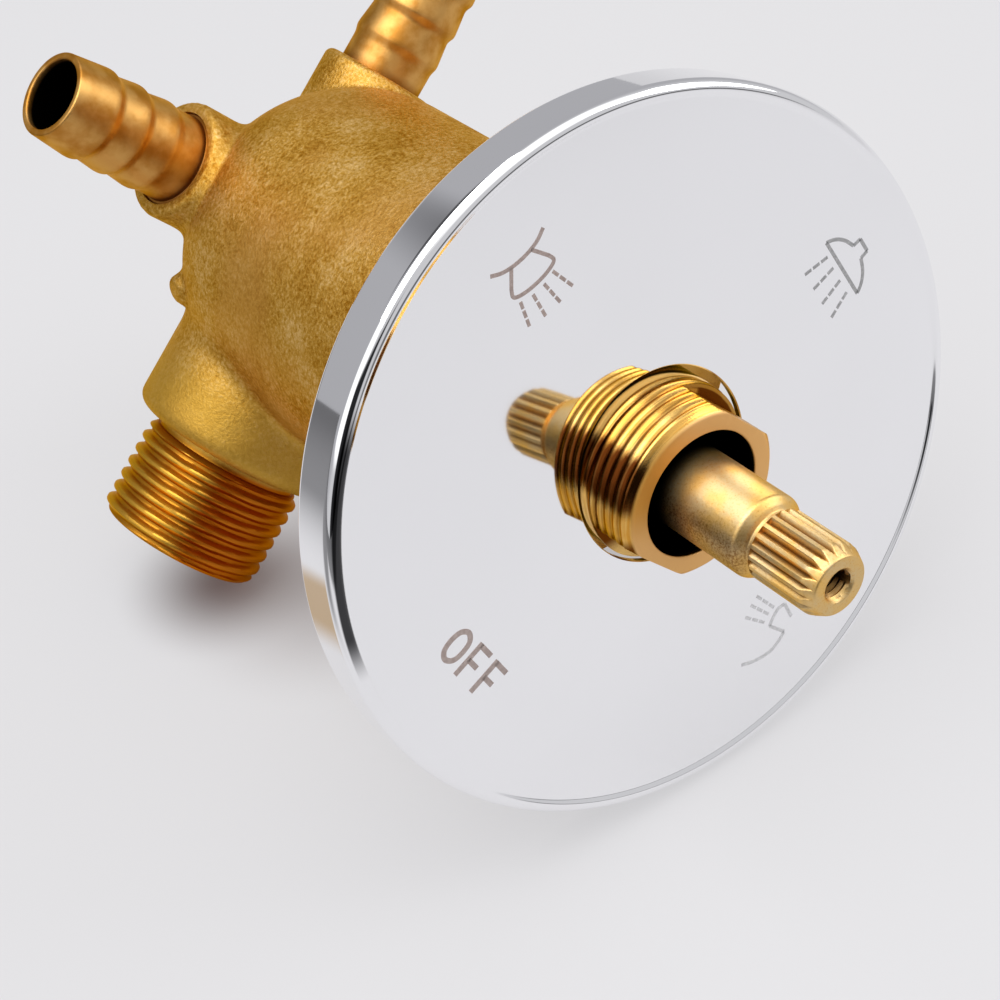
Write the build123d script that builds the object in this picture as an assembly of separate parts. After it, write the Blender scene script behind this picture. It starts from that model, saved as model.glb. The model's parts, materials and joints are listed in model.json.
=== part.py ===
from build123d import *
from math import cos, radians, sin, sqrt, tan
import os

# Concealed shower selector valve: a cast body with one threaded inlet and three hose outlets,
# a headwork with a splined spindle and ceramic discs, and a round wall plate hung on its neck.
# Millimetres. The spindle runs along Y with its front at -Y, and +Z is up.
# The origin is on the spindle's axis, in the plane of the finished wall.
# A bearing is an angle about the spindle in degrees, seen from the front, from +X towards +Z.
# A depth is a distance behind the wall plane, and a reach a distance from the spindle's axis.

# Ports
inlet_bearing = 225
outlet_places = ("upper_left", "upper_right", "lower_right")
outlet_depth = 65.8
inlet_ahead = 10.8

# Cast body
barrel_radius = 21.0
barrel_front_depth = 15.0
rear_behind = 5.8
dome_radius = 19.0
chamber_radius = 16.0
blend_radius = 1.4
mouth_recess_depth = 2.0
mouth_recess_width = 2.0
stub_bearing = 178
stub_ahead = 4.8
stub_radius = 1.9
stub_height = 0.9

# Inlet with its G 1/2 thread
inlet_boss_radius = 13.2
inlet_boss_reach = 28.0
inlet_boss_rounding = 1.8
inlet_reach = 41.7
inlet_bore_radius = 7.0
thread_diameter = 20.955
thread_relief_radius = 9.2
thread_relief_width = 1.2
thread_chamfer = 0.7

# Outlets and their hose barbs
outlet_boss_radius = 7.4
outlet_boss_reach = 21.2
outlet_boss_rounding = 1.0
barb_seat_reach = 12.5
barb_tail_radius = 5.9
barb_tail_sink = 1.0
barb_washer_thickness = 1.0
barb_shank_radius = 5.4
barb_bore_radius = 4.25
barb_crest_radius = 5.65
barb_valley_radius = 5.25
barb_tip_radius = 5.1
barb_crest_count = 3
barb_crest_pitch = 4.5
barb_first_crest_reach = 25.3
barb_back_slope = 0.9
barb_crest_land = 0.5
barb_tip_reach = 39.85

# Headwork bonnet
neck_radius = 10.0
neck_front_proud = 12.4
neck_chamfer = 0.9
neck_bore_radius = 7.2
neck_bore_length = 20.4
flat_half_width = 8.5
flat_length = 5.6
flat_bearing = 45
collar_across_flats = 36.0
collar_length = 9.0
collar_bevel = 2.0
skirt_radius = 14.4
skirt_wall = 1.6
window_count = 4
window_width = 10.0
key_width = 3.0
key_height = 1.2
key_bearings = (0, 180)

# Spindle
spline_radius = 4.0
spline_root_radius = 3.45
spline_teeth = 20
spline_gap_width = 0.85
spline_front_proud = 32.44
spline_length = 8.7
spline_nose_radius = 3.25
spline_nose_length = 1.5
relief_length = 1.1
shaft_radius = 4.67
shaft_shoulder = 0.7
screw_hole_radius = 1.65
screw_hole_depth = 12.0
screw_hole_mouth = 0.3
flange_radius = 8.5
flange_thickness = 2.4
tang_width = 6.0
tang_span = 8.6
tang_grip = 4.4

# Rings on the spindle
ring_section_radius = 0.75
ring_groove_width = 1.8
ring_setback = 4.5
ring_pitch = 6.0
clip_radius = 6.6
clip_thickness = 1.0
clip_groove_depth = 0.8
clip_gap_width = 3.0
washer_thickness = 1.5

# Discs and their driver
disc_radius = 12.5
fixed_disc_thickness = 5.0
moving_disc_thickness = 4.0
flow_circle_radius = 8.0
flow_hole_radius = 3.4
driver_radius = 11.5
driver_thickness = 6.0
driver_gate_radius = 4.4
driver_gap = 2.46
peg_radius = 1.5
peg_length = 2.0
peg_turn = 120
seat_to_outlet = 7.8
seat_recess_radius = 5.2
seat_recess_depth = 1.2
disc_standoff = 0.5

# Wall plate, loose on the neck and leaning
plate_radius = 40.0
plate_depth = 6.0
plate_sheet = 0.8
plate_edge_radius = 1.1
plate_lip_height = 0.3
plate_lip_width = 1.25
plate_lip_slope = 0.9
plate_hole_radius = 10.75
plate_face_proud = 6.05
plate_lift = 0.45
plate_lean = 8.0
plate_turn = 1.2

# Clearances
thread_fit = 0.05
running_fit = 0.05
slip_fit = 0.1
face_fit = 0.02

# Ports stand a quarter turn apart, and the inlet's place is the one for off
quarter_turn = 360 / (len(outlet_places) + 1)
outlet_bearings = {}
for count, place in enumerate(outlet_places, start=1):
    outlet_bearings[place] = inlet_bearing - count * quarter_turn

# Depths and radii that follow from the sizes above
inlet_depth = outlet_depth - inlet_ahead
barrel_rear_depth = outlet_depth + rear_behind
stub_depth = outlet_depth - stub_ahead
thread_radius = thread_diameter / 2
neck_front = -neck_front_proud
collar_front = barrel_front_depth - collar_length
seat = outlet_depth - seat_to_outlet
fixed_disc_rear = seat - disc_standoff
fixed_disc_front = fixed_disc_rear - fixed_disc_thickness
moving_disc_rear = fixed_disc_front - face_fit
moving_disc_front = moving_disc_rear - moving_disc_thickness
driver_rear = moving_disc_front - face_fit
driver_front = driver_rear - driver_thickness
plug_end = driver_front - driver_gap
bearing_front = neck_front + neck_bore_length
bearing_rear = plug_end - flange_thickness - washer_thickness - 2 * face_fit
washer_front = bearing_rear + face_fit
flange_front = washer_front + washer_thickness + face_fit
flange_rear = flange_front + flange_thickness
tang_end = driver_front + tang_grip
spline_front = -spline_front_proud
spline_rear = spline_front + spline_length
shaft_front = spline_rear + relief_length
clip_rear = bearing_front - face_fit
clip_front = clip_rear - clip_thickness
seal_section_radius = (seat_recess_depth + disc_standoff) / 2 - face_fit
plug_radius = chamber_radius - thread_fit
skirt_bore_radius = skirt_radius - skirt_wall

stem = Plane(origin=(0, 0, 0), x_dir=(1, 0, 0), z_dir=(0, 1, 0))


def port(bearing, depth):
    # A plane on the spindle's axis whose normal points out along the port
    outward = (cos(radians(bearing)), 0, sin(radians(bearing)))
    return Plane(origin=(0, depth, 0), x_dir=(0, 1, 0), z_dir=outward)


def on_bearing(bearing, radius=0):
    return Rot(0, 0, -bearing) * Pos(radius, 0, 0)


def rod(radius, start, end):
    bar = Cylinder(radius, end - start, align=(Align.CENTER, Align.CENTER, Align.MIN))
    return Pos(0, 0, start) * bar


def tube(outer, inner, start, end):
    return rod(outer, start, end) - rod(inner, start, end)


def turned(*points):
    outline = Polyline(*[(radius, 0, along) for radius, along in points], close=True)
    return revolve(make_face(outline), Axis.Z)


def rounded_rod(radius, start, end, rounding):
    bar = rod(radius, start, end)
    return fillet(bar.edges().group_by(Axis.Z)[-1], rounding)


def ring(centre_radius, section_radius, along):
    return Pos(0, 0, along) * Torus(centre_radius, section_radius)


def slab(width, thickness, start, end):
    bar = Box(width, thickness, end - start, align=(Align.CENTER, Align.CENTER, Align.MIN))
    return Pos(0, 0, start) * bar


def casting():
    # Barrel with a domed rear, the inlet boss blended into it, and a boss for each outlet
    barrel = stem * rounded_rod(barrel_radius, barrel_front_depth, barrel_rear_depth, dome_radius)
    inlet_boss = rounded_rod(inlet_boss_radius, 0, inlet_boss_reach, inlet_boss_rounding)
    body = barrel + port(inlet_bearing, inlet_depth) * inlet_boss
    body = fillet(body.edges().filter_by(GeomType.BSPLINE), blend_radius)
    outlet_boss = rounded_rod(outlet_boss_radius, 0, outlet_boss_reach, outlet_boss_rounding)
    for bearing in outlet_bearings.values():
        body = body + port(bearing, outlet_depth) * outlet_boss
    return body


def gate_stub():
    # What is left of the casting's gate, a low round stump on the dome
    run = stub_depth - (barrel_rear_depth - dome_radius)
    skin = barrel_radius - dome_radius + sqrt(dome_radius**2 - run**2)
    return port(stub_bearing, stub_depth) * rod(stub_radius, chamber_radius, skin + stub_height)


def inlet_spigot():
    thread_start = inlet_boss_reach + thread_relief_width
    spigot = rod(thread_relief_radius, 0, inlet_reach)
    thread = rod(thread_radius, thread_start, inlet_reach)
    thread = chamfer(thread.edges().filter_by(GeomType.CIRCLE), thread_chamfer)
    return port(inlet_bearing, inlet_depth) * (spigot + thread)


def valve_body():
    body = casting() + gate_stub() + inlet_spigot()
    body = body - stem * rod(chamber_radius, barrel_front_depth, seat)
    mouth_radius = chamber_radius + mouth_recess_width
    mouth_end = barrel_front_depth + mouth_recess_depth
    body = body - stem * rod(mouth_radius, barrel_front_depth, mouth_end)
    inlet_start = sqrt(chamber_radius**2 - inlet_bore_radius**2) - slip_fit
    inlet_way = rod(inlet_bore_radius, inlet_start, inlet_reach)
    body = body - port(inlet_bearing, inlet_depth) * inlet_way
    outlet_way = rod(flow_hole_radius, flow_circle_radius, barb_seat_reach)
    outlet_way = outlet_way + rod(barb_tail_radius, barb_seat_reach, outlet_boss_reach)
    recess = rod(seat_recess_radius, seat, seat + seat_recess_depth)
    drop = recess + rod(flow_hole_radius, seat, outlet_depth)
    drop = drop + Pos(0, 0, outlet_depth) * Sphere(flow_hole_radius)
    for bearing in outlet_bearings.values():
        body = body - port(bearing, outlet_depth) * outlet_way
        body = body - stem * on_bearing(bearing, flow_circle_radius) * drop
    return body


def hose_barb(bearing):
    # Turned tail with a tapered crest for each bite of the hose
    tail_radius = barb_tail_radius - thread_fit
    tail_start = barb_seat_reach + barb_washer_thickness + face_fit
    tail_end = outlet_boss_reach - barb_tail_sink
    outline = [
        (barb_bore_radius, tail_start),
        (tail_radius, tail_start),
        (tail_radius, tail_end),
        (barb_shank_radius, tail_end),
    ]
    foot_radius = barb_shank_radius
    for step in range(barb_crest_count):
        crest = barb_first_crest_reach + step * barb_crest_pitch
        outline.append((foot_radius, crest - barb_back_slope))
        outline.append((barb_crest_radius, crest))
        outline.append((barb_crest_radius, crest + barb_crest_land))
        foot_radius = barb_valley_radius
    outline.append((barb_tip_radius, barb_tip_reach))
    outline.append((barb_bore_radius, barb_tip_reach))
    return port(bearing, outlet_depth) * turned(*outline)


def barb_washer(bearing):
    outer = barb_tail_radius - slip_fit
    inner = flow_hole_radius + slip_fit
    washer = tube(outer, inner, barb_seat_reach, barb_seat_reach + barb_washer_thickness)
    return port(bearing, outlet_depth) * washer


def bonnet():
    neck = rod(neck_radius, neck_front, collar_front)
    neck = chamfer(neck.edges().group_by(Axis.Z)[0], neck_chamfer)
    flat_depth = neck_radius - flat_half_width
    flat = slab(flat_depth, 2 * neck_radius, neck_front, neck_front + flat_length)
    for bearing in (flat_bearing, flat_bearing + 180):
        neck = neck - on_bearing(bearing, flat_half_width + flat_depth / 2) * flat
    corner_radius = collar_across_flats / sqrt(3)
    hexagon = RegularPolygon(collar_across_flats / 2, 6, major_radius=False)
    collar = Pos(0, 0, collar_front) * extrude(hexagon, collar_length)
    bevel_rise = collar_bevel * tan(radians(30))
    collar = collar & turned(
        (0, collar_front),
        (corner_radius - collar_bevel, collar_front),
        (corner_radius, collar_front + bevel_rise),
        (corner_radius, barrel_front_depth),
        (0, barrel_front_depth),
    )
    solid = neck + collar + rod(plug_radius, barrel_front_depth, plug_end)
    solid = solid + rod(skirt_radius, plug_end, fixed_disc_rear)
    solid = solid - rod(neck_bore_radius, neck_front, bearing_front)
    solid = solid - rod(shaft_radius + running_fit, bearing_front, bearing_rear)
    solid = solid - rod(flange_radius + slip_fit, bearing_rear, plug_end)
    solid = solid - rod(skirt_bore_radius, plug_end, fixed_disc_rear)
    window = slab(2 * skirt_radius, window_width, plug_end, moving_disc_front)
    for turn in range(window_count):
        bearing = inlet_bearing + turn * 360 / window_count
        solid = solid - on_bearing(bearing, skirt_radius) * window
    key = slab(key_height, key_width, fixed_disc_front + slip_fit, fixed_disc_rear)
    for bearing in key_bearings:
        solid = solid + on_bearing(bearing, skirt_bore_radius - key_height / 2) * key
    return stem * solid


def spindle():
    groove_floor = shaft_radius - 2 * ring_section_radius - face_fit
    outline = [
        (0, spline_front),
        (spline_nose_radius, spline_front),
        (spline_radius, spline_front + spline_nose_length),
        (spline_radius, spline_rear),
        (spline_root_radius, spline_rear),
        (spline_root_radius, shaft_front - shaft_shoulder / 2),
        (shaft_radius - shaft_shoulder, shaft_front),
        (shaft_radius, shaft_front + shaft_shoulder),
        (shaft_radius, clip_front - face_fit),
        (shaft_radius - clip_groove_depth, clip_front - face_fit),
        (shaft_radius - clip_groove_depth, clip_rear),
        (shaft_radius, clip_rear),
    ]
    for along in ring_depths():
        outline.append((shaft_radius, along - ring_groove_width / 2))
        outline.append((groove_floor, along - ring_groove_width / 2))
        outline.append((groove_floor, along + ring_groove_width / 2))
        outline.append((shaft_radius, along + ring_groove_width / 2))
    outline = outline + [
        (shaft_radius, flange_front),
        (flange_radius, flange_front),
        (flange_radius, flange_rear),
        (0, flange_rear),
    ]
    solid = turned(*outline)
    half_gap = spline_gap_width / 2
    overcut = spline_radius - spline_root_radius
    gap_face = make_face(Polyline(
        (spline_root_radius, 0),
        (spline_radius + overcut, 2 * half_gap),
        (spline_radius + overcut, -2 * half_gap),
        close=True,
    ))
    gap = Pos(0, 0, spline_front) * extrude(gap_face, spline_length)
    for tooth in range(spline_teeth):
        solid = solid - Rot(0, 0, tooth * 360 / spline_teeth) * gap
    solid = solid + slab(tang_span, tang_width, flange_rear, tang_end)
    mouth_radius = screw_hole_radius + screw_hole_mouth
    solid = solid - rod(screw_hole_radius, spline_front, spline_front + screw_hole_depth)
    solid = solid - turned(
        (0, spline_front),
        (mouth_radius, spline_front),
        (screw_hole_radius, spline_front + screw_hole_mouth),
        (0, spline_front + screw_hole_mouth),
    )
    return stem * solid


def ring_depths():
    # From the front ring to the rear one, ahead of the thrust washer
    rear = bearing_rear - ring_setback
    return [rear - ring_pitch, rear]


def spindle_ring(along):
    centre_radius = shaft_radius - ring_section_radius
    return stem * ring(centre_radius, ring_section_radius, along)


def spindle_clip():
    inner = shaft_radius - clip_groove_depth + face_fit
    clip = tube(clip_radius, inner, clip_front, clip_rear - face_fit)
    gap = slab(clip_radius, clip_gap_width, clip_front, clip_rear)
    return stem * (clip - Pos(0, clip_radius / 2 + inner / 2, 0) * Rot(0, 0, 90) * gap)


def thrust_washer():
    inner = shaft_radius + slip_fit
    return stem * tube(flange_radius, inner, washer_front, washer_front + washer_thickness)


def peg_bearings():
    return [inlet_bearing - peg_turn, inlet_bearing + peg_turn]


def disc_driver():
    solid = rod(driver_radius, driver_front, driver_rear)
    slot_span = tang_span + 2 * slip_fit
    slot_width = tang_width + 2 * slip_fit
    solid = solid - slab(slot_span, slot_width, driver_front, tang_end + slip_fit)
    gate = rod(driver_gate_radius, driver_front, driver_rear)
    gate_reach = driver_radius - driver_gate_radius / 2
    solid = solid - on_bearing(inlet_bearing, gate_reach) * gate
    peg = rod(peg_radius, driver_rear, driver_rear + peg_length)
    for bearing in peg_bearings():
        solid = solid + on_bearing(bearing, flow_circle_radius) * peg
    return stem * solid


def moving_disc():
    solid = rod(disc_radius, moving_disc_front, moving_disc_rear)
    flow_hole = rod(flow_hole_radius, moving_disc_front, moving_disc_rear)
    solid = solid - on_bearing(inlet_bearing, flow_circle_radius) * flow_hole
    socket_end = moving_disc_front + peg_length + slip_fit
    socket = rod(peg_radius + slip_fit, moving_disc_front, socket_end)
    for bearing in peg_bearings():
        solid = solid - on_bearing(bearing, flow_circle_radius) * socket
    return stem * solid


def fixed_disc():
    solid = rod(disc_radius, fixed_disc_front, fixed_disc_rear)
    flow_hole = rod(flow_hole_radius, fixed_disc_front, fixed_disc_rear)
    for bearing in outlet_bearings.values():
        solid = solid - on_bearing(bearing, flow_circle_radius) * flow_hole
    notch_reach = skirt_bore_radius - key_height - slip_fit
    notch = slab(disc_radius, key_width + 2 * slip_fit, fixed_disc_front, fixed_disc_rear)
    for bearing in key_bearings:
        solid = solid - on_bearing(bearing, notch_reach + disc_radius / 2) * notch
    return stem * solid


def seat_seal(bearing):
    centre_radius = seat_recess_radius - seal_section_radius - face_fit
    along = (fixed_disc_rear + seat + seat_recess_depth) / 2
    return stem * on_bearing(bearing, flow_circle_radius) * ring(centre_radius, seal_section_radius, along)


def bonnet_seal():
    section = min(mouth_recess_width, mouth_recess_depth) / 2 - face_fit
    along = barrel_front_depth + mouth_recess_depth / 2
    return stem * ring(chamber_radius + mouth_recess_width / 2, section, along)


def wall_plate():
    # A shallow cup with a raised lip round its flat face, leaning where it hangs
    rearward = (tan(radians(plate_turn)), 1, -tan(radians(plate_lean)))
    seat_plane = Plane(origin=(0, -plate_face_proud, plate_lift), x_dir=(1, 0, 0), z_dir=rearward)
    outer = rod(plate_radius, -plate_lip_height, plate_depth)
    outer = fillet(outer.edges().group_by(Axis.Z)[0], plate_edge_radius)
    inner = rod(plate_radius - plate_sheet, plate_sheet, plate_depth)
    inner = fillet(inner.edges().group_by(Axis.Z)[0], plate_edge_radius)
    lip_radius = plate_radius - plate_lip_width
    dish = turned(
        (0, -plate_lip_height),
        (lip_radius, -plate_lip_height),
        (lip_radius - plate_lip_slope, 0),
        (0, 0),
    )
    return seat_plane * (outer - inner - dish - rod(plate_hole_radius, 0, plate_sheet))


pieces = {
    "valve_body": valve_body(),
    "bonnet": bonnet(),
    "bonnet_seal": bonnet_seal(),
    "spindle": spindle(),
    "spindle_clip": spindle_clip(),
    "thrust_washer": thrust_washer(),
    "disc_driver": disc_driver(),
    "moving_disc": moving_disc(),
    "fixed_disc": fixed_disc(),
    "wall_plate": wall_plate(),
}
for place, along in zip(("front", "rear"), ring_depths()):
    pieces[f"spindle_ring_{place}"] = spindle_ring(along)
for place, bearing in outlet_bearings.items():
    pieces[f"hose_barb_{place}"] = hose_barb(bearing)
    pieces[f"barb_washer_{place}"] = barb_washer(bearing)
    pieces[f"seat_seal_{place}"] = seat_seal(bearing)

os.makedirs("parts", exist_ok=True)
for name, solid in pieces.items():
    export_step(solid, f"parts/{name}.step")
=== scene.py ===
import json
import bmesh
import bpy
import numpy as np
from mathutils import Matrix

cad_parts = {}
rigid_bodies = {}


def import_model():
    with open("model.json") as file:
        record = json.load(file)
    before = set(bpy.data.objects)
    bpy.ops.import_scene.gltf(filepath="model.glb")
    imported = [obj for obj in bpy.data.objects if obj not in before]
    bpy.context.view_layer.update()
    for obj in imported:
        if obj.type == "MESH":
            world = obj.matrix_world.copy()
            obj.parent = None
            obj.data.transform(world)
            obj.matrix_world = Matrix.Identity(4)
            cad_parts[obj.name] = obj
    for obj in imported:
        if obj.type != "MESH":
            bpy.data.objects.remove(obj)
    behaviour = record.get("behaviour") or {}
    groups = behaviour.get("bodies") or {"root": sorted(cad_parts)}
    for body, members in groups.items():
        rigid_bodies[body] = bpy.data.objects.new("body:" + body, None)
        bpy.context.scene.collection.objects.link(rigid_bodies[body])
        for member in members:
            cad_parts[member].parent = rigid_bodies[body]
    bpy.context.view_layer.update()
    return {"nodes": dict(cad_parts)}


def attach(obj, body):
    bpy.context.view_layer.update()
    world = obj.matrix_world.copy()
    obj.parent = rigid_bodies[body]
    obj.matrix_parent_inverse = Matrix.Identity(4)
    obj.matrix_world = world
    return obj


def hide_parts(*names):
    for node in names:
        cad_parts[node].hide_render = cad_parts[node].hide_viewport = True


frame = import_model()
nodes = frame["nodes"]
mm = 0.001
fullTurn = 2 * np.pi
print("frame loaded:", len(nodes), "nodes")


# ways of placing a piece: a local frame whose z runs along the axis

def stemPlace():
    # local x is +X, local y is -Z and local z is +Y, along the spindle
    return np.array([[1, 0, 0], [0, 0, -1], [0, 1, 0]], float), np.zeros(3)


def portPlace(bearing, depth):
    # local z points out along a port at that bearing about the spindle
    angle = np.radians(bearing)
    outward = np.array([np.cos(angle), 0, np.sin(angle)])
    rearward = np.array([0.0, 1, 0])
    return np.array([rearward, np.cross(outward, rearward), outward]), np.array([0, depth, 0.0])


def placed(local, place):
    axes, origin = place
    return local @ axes + origin


# surfaces

def linked(name, data):
    made = bpy.data.objects.new(name, data)
    bpy.context.scene.collection.objects.link(made)
    return made


def newPiece(name, points, quads):
    # points in millimetres; faces are turned outwards by the sign of the enclosed volume
    corners = points[quads]
    slices = np.cross(corners[:, 1] - corners[:, 0], corners[:, 2] - corners[:, 0])
    slices = slices + np.cross(corners[:, 2] - corners[:, 0], corners[:, 3] - corners[:, 0])
    if np.einsum("ij,ij->", corners.mean(1), slices) < 0:
        quads = quads[:, ::-1]
    mesh = bpy.data.meshes.new(name)
    mesh.vertices.add(len(points))
    mesh.vertices.foreach_set("co", (points * mm).astype(np.float32).ravel())
    mesh.loops.add(quads.size)
    mesh.loops.foreach_set("vertex_index", quads.astype(np.int32).ravel())
    mesh.polygons.add(len(quads))
    mesh.polygons.foreach_set("loop_start", np.arange(0, quads.size, 4, dtype=np.int32))
    mesh.polygons.foreach_set("use_smooth", np.ones(len(quads), bool))
    mesh.update(calc_edges=True)
    return linked(name, mesh)


def closePoles(piece):
    # points that fall together, at a pole, a seam or a cut, become one
    shape = bmesh.new()
    shape.from_mesh(piece.data)
    bmesh.ops.remove_doubles(shape, verts=shape.verts, dist=3e-8)
    shape.to_mesh(piece.data)
    shape.free()


def gridQuads(rows, columns, closeRows):
    # every point joins its neighbours in the next row and column; columns wrap round
    index = np.arange(rows * columns).reshape(rows, columns)
    index = np.hstack([index, index[:, :1]])
    if closeRows:
        index = np.vstack([index, index[:1]])
    return np.stack([index[:-1, :-1], index[:-1, 1:], index[1:, 1:], index[1:, :-1]], -1).reshape(-1, 4)


def roundCorners(outline, steps=5):
    # each corner becomes a curve from one side to the next: (1-t)^2 a + 2t(1-t) corner + t^2 b
    # a and b lie on the two sides, the rounding away from the corner or 0.45 of the shorter side
    corner, rounding = outline[:, :2], outline[:, 2]
    before, after = np.roll(corner, 1, 0) - corner, np.roll(corner, -1, 0) - corner
    lengthBefore, lengthAfter = np.linalg.norm(before, axis=1), np.linalg.norm(after, axis=1)
    reach = np.minimum(rounding, 0.45 * np.minimum(lengthBefore, lengthAfter))
    a = corner + before * (reach / lengthBefore)[:, None]
    b = corner + after * (reach / lengthAfter)[:, None]
    t = np.linspace(0, 1, steps)[:, None, None]
    curves = (1 - t) ** 2 * a + 2 * t * (1 - t) * corner + t**2 * b
    return curves.transpose(1, 0, 2).reshape(-1, 2)


def finer(outline, step, fine=None):
    # long sides get extra points, evenly spaced, so that none is longer than the step
    # fine gives a span of the axis, and the step of the sides that run along it there
    following = np.roll(outline, -1, 0)
    steps = np.full(len(outline), step)
    if fine:
        start, end, fineStep = fine
        lower, upper = np.minimum(outline, following)[:, 1], np.maximum(outline, following)[:, 1]
        steps[(lower > start) & (upper < end) & (upper - lower > 0.2)] = fineStep
    count = np.maximum(1, np.ceil(np.linalg.norm(following - outline, axis=1) / steps)).astype(int)
    within = np.arange(count.sum()) - np.repeat(np.cumsum(count) - count, count)
    share = (within / np.repeat(count, count))[:, None]
    return np.repeat(outline, count, 0) * (1 - share) + np.repeat(following, count, 0) * share


def spun(path, place, segments, shape=None):
    # x = r cos a, y = r sin a, z = along for every point of the path and every angle a
    # shape(r, along, a) gives the radius where the piece isn't round
    angle = np.linspace(0, fullTurn, segments, endpoint=False)[None, :]
    radius, along = path[:, :1] + 0 * angle, path[:, 1:] + 0 * angle
    if shape:
        radius = shape(radius, along, angle + 0 * radius)
    local = np.stack([radius * np.cos(angle), radius * np.sin(angle), along], -1)
    return placed(local.reshape(-1, 3), place)


def turnedPiece(name, outline, place, segments, shape=None, fine=None, step=2.0):
    # the outline, with rounded corners and divided sides, carried round the axis
    path = finer(roundCorners(np.array(outline, float)), step, fine)
    piece = newPiece(name, spun(path, place, segments, shape), gridQuads(len(path), segments, True))
    closePoles(piece)
    return piece


def carve(piece, cutters, operation="DIFFERENCE"):
    # solid pieces are taken from or joined to the piece, and then thrown away
    for cutter in cutters:
        step = piece.modifiers.new("carve", "BOOLEAN")
        step.operation = operation
        step.solver = "MANIFOLD"
        step.object = cutter
    solved = piece.evaluated_get(bpy.context.evaluated_depsgraph_get())
    mesh = bpy.data.meshes.new_from_object(solved)
    piece.modifiers.clear()
    piece.data = mesh
    for cutter in cutters:
        bpy.data.objects.remove(cutter)
    closePoles(piece)
    return piece


def crisp(piece, degrees=32):
    # smooth shading, with an edge kept where faces meet more sharply than that
    piece.data.polygons.foreach_set("use_smooth", np.ones(len(piece.data.polygons), bool))
    piece.data.set_sharp_from_angle(angle=np.radians(degrees))
    return piece


def threadShare(along, angle, pitch, land=0.16):
    # 0 on a crest and 1 in a root of a right-hand thread, from along / pitch - angle / turn
    phase = along / pitch - angle / fullTurn
    wave = np.abs(2 * (phase - np.floor(phase)) - 1)
    share = np.clip((wave - land) / (1 - 2 * land), 0, 1)
    return share * share * (3 - 2 * share)


def ramp(value, start, end):
    share = np.clip((value - start) / (end - start), 0, 1)
    return share * share * (3 - 2 * share)


# cast body: one skin round the barrel and its bosses, with the ways bored out of it

castBody = {
    "centre": 58.0, "rows": 190, "columns": 360,  # of the skin, counted from a point inside
    "edgeRows": 14, "edgeDegrees": 1.2, "frontRows": 12, "nearest": 4.0, "farthest": 70.0, "halvings": 34,
    "barrel": (21.0, 15.0, 71.6, 19.0),  # radius, front, rear, rounding of the rear
    "inlet": (225, 55.0, 13.2, 28.0, 1.8),  # bearing, depth, radius, reach, rounding
    "outlets": (135, 45, 315), "outlet": (65.8, 7.4, 21.2, 1.0),
    "stub": (178, 61.0, 1.9, 20.4, 0.9),
    "inletBlend": 1.7, "outletBlend": 1.4, "stubBlend": 0.9, "frontRound": 0.5,
    "chamber": (16.0, 58.0), "mouth": (18.0, 17.0), "seat": (5.2, 59.2),  # radius, end
    "inletBore": (7.0, 12.0), "tailHole": (5.9, 12.5), "flowHole": (3.4, 8.0),  # radius, start
    "overshoot": 1.0,
}


def roundedEnd(radial, along, radius, end, rounding):
    # distance to a rod whose far end is rounded over
    sideways, onwards = radial - (radius - rounding), along - (end - rounding)
    outside = np.hypot(np.maximum(sideways, 0), np.maximum(onwards, 0))
    return outside + np.minimum(np.maximum(sideways, onwards), 0) - rounding


def merged(a, b, width):
    # the lesser of two distances, with a soft hollow of that width where they meet
    overlap = np.maximum(width - np.abs(a - b), 0) / width
    return np.minimum(a, b) - overlap**2 * width / 4


def bossDistance(p, bearing, depth, radius, reach, rounding):
    angle = np.radians(bearing)
    along = p[..., 0] * np.cos(angle) + p[..., 2] * np.sin(angle)
    across = p[..., 2] * np.cos(angle) - p[..., 0] * np.sin(angle)
    rod = roundedEnd(np.hypot(across, p[..., 1] - depth), along, radius, reach, rounding)
    return np.maximum(rod, -along)


def castDistance(p):
    radius, front, rear, rounding = castBody["barrel"]
    skin = roundedEnd(np.hypot(p[..., 0], p[..., 2]), p[..., 1], radius, rear, rounding)
    skin = merged(skin, bossDistance(p, *castBody["inlet"]), castBody["inletBlend"])
    outlet = castBody["outlet"]
    for bearing in castBody["outlets"]:
        skin = merged(skin, bossDistance(p, bearing, *outlet), castBody["outletBlend"])
    skin = merged(skin, bossDistance(p, *castBody["stub"]), castBody["stubBlend"])
    return -merged(-skin, p[..., 1] - front, castBody["frontRound"])


def castSkin():
    # each direction from a point inside is followed to where the distance changes sign
    # direction = (sin a cos b, cos a, sin a sin b), with a row of a on the front edge
    radius, front = castBody["barrel"][:2]
    rows, columns = castBody["rows"], castBody["columns"]
    edge = np.pi - np.arctan2(radius, castBody["centre"] - front)
    near = np.radians(castBody["edgeDegrees"])
    a = np.concatenate([np.linspace(0, edge - near, rows),
                        np.linspace(edge - near, edge + near, castBody["edgeRows"])[1:-1],
                        np.linspace(edge + near, np.pi, castBody["frontRows"])])[:, None]
    b = np.linspace(0, fullTurn, columns, endpoint=False)[None, :]
    ways = np.stack([np.sin(a) * np.cos(b), np.cos(a) + 0 * b, np.sin(a) * np.sin(b)], -1)
    start = np.array([0, castBody["centre"], 0])
    low, high = np.full(ways.shape[:2], castBody["nearest"]), np.full(ways.shape[:2], castBody["farthest"])
    for halving in range(castBody["halvings"]):
        middle = (low + high) / 2
        within = castDistance(start + ways * middle[..., None]) < 0
        low, high = np.where(within, middle, low), np.where(within, high, middle)
    points = start + ways * low[..., None]
    skin = newPiece("castBody", points.reshape(-1, 3), gridQuads(len(a), columns, False))
    closePoles(skin)
    return skin


def plainRod(place, radius, start, end, segments=96):
    # a path from the axis out to the radius, along, and back to the axis, carried round
    path = np.array([(0, start), (radius, start), (radius, end), (0, end)])
    rod = newPiece("rod", spun(path, place, segments), gridQuads(len(path), segments, False))
    closePoles(rod)
    return rod


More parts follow.
